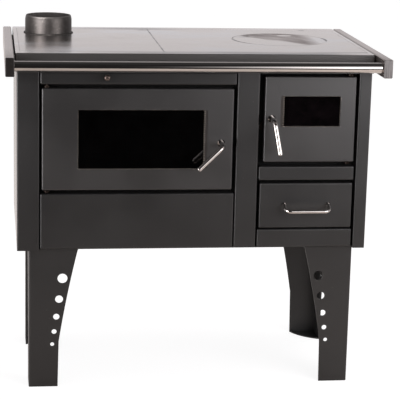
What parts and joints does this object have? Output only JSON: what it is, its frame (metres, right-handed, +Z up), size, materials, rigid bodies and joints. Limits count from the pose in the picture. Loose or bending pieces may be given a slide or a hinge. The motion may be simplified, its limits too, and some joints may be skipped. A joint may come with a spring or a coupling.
{
  "type": "wood cookstove",
  "caption": "Wood-burning cookstove on bent sheet legs with a windowed oven and firebox, ash drawer, plate cooktop with lift-off disc, flue collar and towel rail.",
  "frame": {"origin": "on the floor, under the middle of the whole outline", "axes": "+X to the firebox side (right, seen from the front), +Y from the front to the back, +Z up"},
  "size_m": [0.9, 0.586, 0.867],
  "materials": {
    "black_heat_paint": "satin",
    "paint_with_ground_top": "satin paint, the top face ground bare with the plates",
    "flue_paint": "satin",
    "ground_hob_steel": "ground",
    "brushed_bar_steel": "brushed",
    "polished_steel": "polished",
    "cap_plastic": "moulded",
    "zinc_steel": "zinc plated",
    "mill_steel": "plain sheet",
    "sintered_brass": "plain",
    "ceramic_glass": "clear, sooted",
    "seal_rope": "braided glass fibre",
    "seal_tape": "woven glass fibre",
    "cast_iron": "as cast",
    "fireclay": "unglazed"
  },
  "bodies": {
    "root": {"left_side_panel": "black_heat_paint", "right_side_panel": "black_heat_paint", "back_panel": "black_heat_paint", "bottom_panel": "black_heat_paint", "inner_front_plate": "black_heat_paint", "centre_post": "black_heat_paint", "latch_keepers": "black_heat_paint", "oven_header_panel": "black_heat_paint", "lower_left_panel": "black_heat_paint", "firebox_sill_panel": "black_heat_paint", "lower_right_panel": "black_heat_paint", "hinge_lugs": "black_heat_paint", "cooktop_frame": "paint_with_ground_top", "flue_plate": "ground_hob_steel", "hob_plate": "ground_hob_steel", "flue_collar": "flue_paint", "side_bar_left": "brushed_bar_steel", "side_bar_right": "brushed_bar_steel", "bar_end_caps": "cap_plastic", "bar_fixings": "zinc_steel", "rail_tube": "polished_steel", "rail_plugs": "zinc_steel", "leg_front_left": "black_heat_paint", "leg_front_right": "black_heat_paint", "leg_rear_left": "black_heat_paint", "leg_rear_right": "black_heat_paint", "leg_bolts": "zinc_steel", "oven_box": "mill_steel", "oven_shelf_runners": "mill_steel", "oven_rack": "zinc_steel", "flue_box": "mill_steel", "damper_bush": "sintered_brass", "firebox_shell": "mill_steel", "firebricks": "fireclay", "grate": "cast_iron", "drawer_runners": "mill_steel"},
    "oven_door": {"oven_door_panel": "black_heat_paint", "oven_door_liner": "mill_steel", "oven_door_glass": "ceramic_glass", "oven_glass_gasket": "seal_tape", "oven_glass_clips": "zinc_steel", "oven_door_rope": "seal_rope", "oven_door_pins": "zinc_steel"},
    "oven_latch": {"oven_handle": "polished_steel", "oven_latch_tongue": "zinc_steel"},
    "firebox_door": {"firebox_door_panel": "black_heat_paint", "firebox_door_liner": "mill_steel", "firebox_door_glass": "ceramic_glass", "firebox_glass_gasket": "seal_tape", "firebox_glass_clips": "zinc_steel", "firebox_door_rope": "seal_rope", "firebox_door_pins": "zinc_steel"},
    "firebox_latch": {"firebox_handle": "polished_steel", "firebox_latch_tongue": "zinc_steel"},
    "ash_drawer": {"drawer_front": "black_heat_paint", "ash_pan": "mill_steel", "drawer_handle": "polished_steel"},
    "damper": {"damper_gate": "mill_steel", "damper_knob": "polished_steel"},
    "hob_disc": {"hob_disc": "ground_hob_steel"}
  },
  "joints": [
    {"name": "oven_door_hinge", "type": "hinge", "parent": "root", "child": "oven_door", "pos_m": [-0.352, -0.194, 0.6161], "axis": [0, 0, -1], "range_deg": [0, 105]},
    {"name": "oven_latch_turn", "type": "hinge", "parent": "oven_door", "child": "oven_latch", "pos_m": [0.062, -0.204, 0.608], "axis": [0, -1, 0], "range_deg": [0, 50]},
    {"name": "firebox_door_hinge", "type": "hinge", "parent": "root", "child": "firebox_door", "pos_m": [0.373, -0.194, 0.6648], "axis": [0, 0, 1], "range_deg": [0, 105]},
    {"name": "firebox_latch_turn", "type": "hinge", "parent": "firebox_door", "child": "firebox_latch", "pos_m": [0.1823, -0.204, 0.667], "axis": [0, 1, 0], "range_deg": [0, 50]},
    {"name": "ash_drawer_slide", "type": "slide", "parent": "root", "child": "ash_drawer", "axis": [0, -1, 0], "range_m": [0, 0.3]},
    {"name": "damper_slide", "type": "slide", "parent": "root", "child": "damper", "axis": [0, -1, 0], "range_m": [0, 0.08]},
    {"name": "hob_disc_lift", "type": "slide", "parent": "root", "child": "hob_disc", "axis": [0, 0, 1], "range_m": [0, 0.08]}
  ]
}
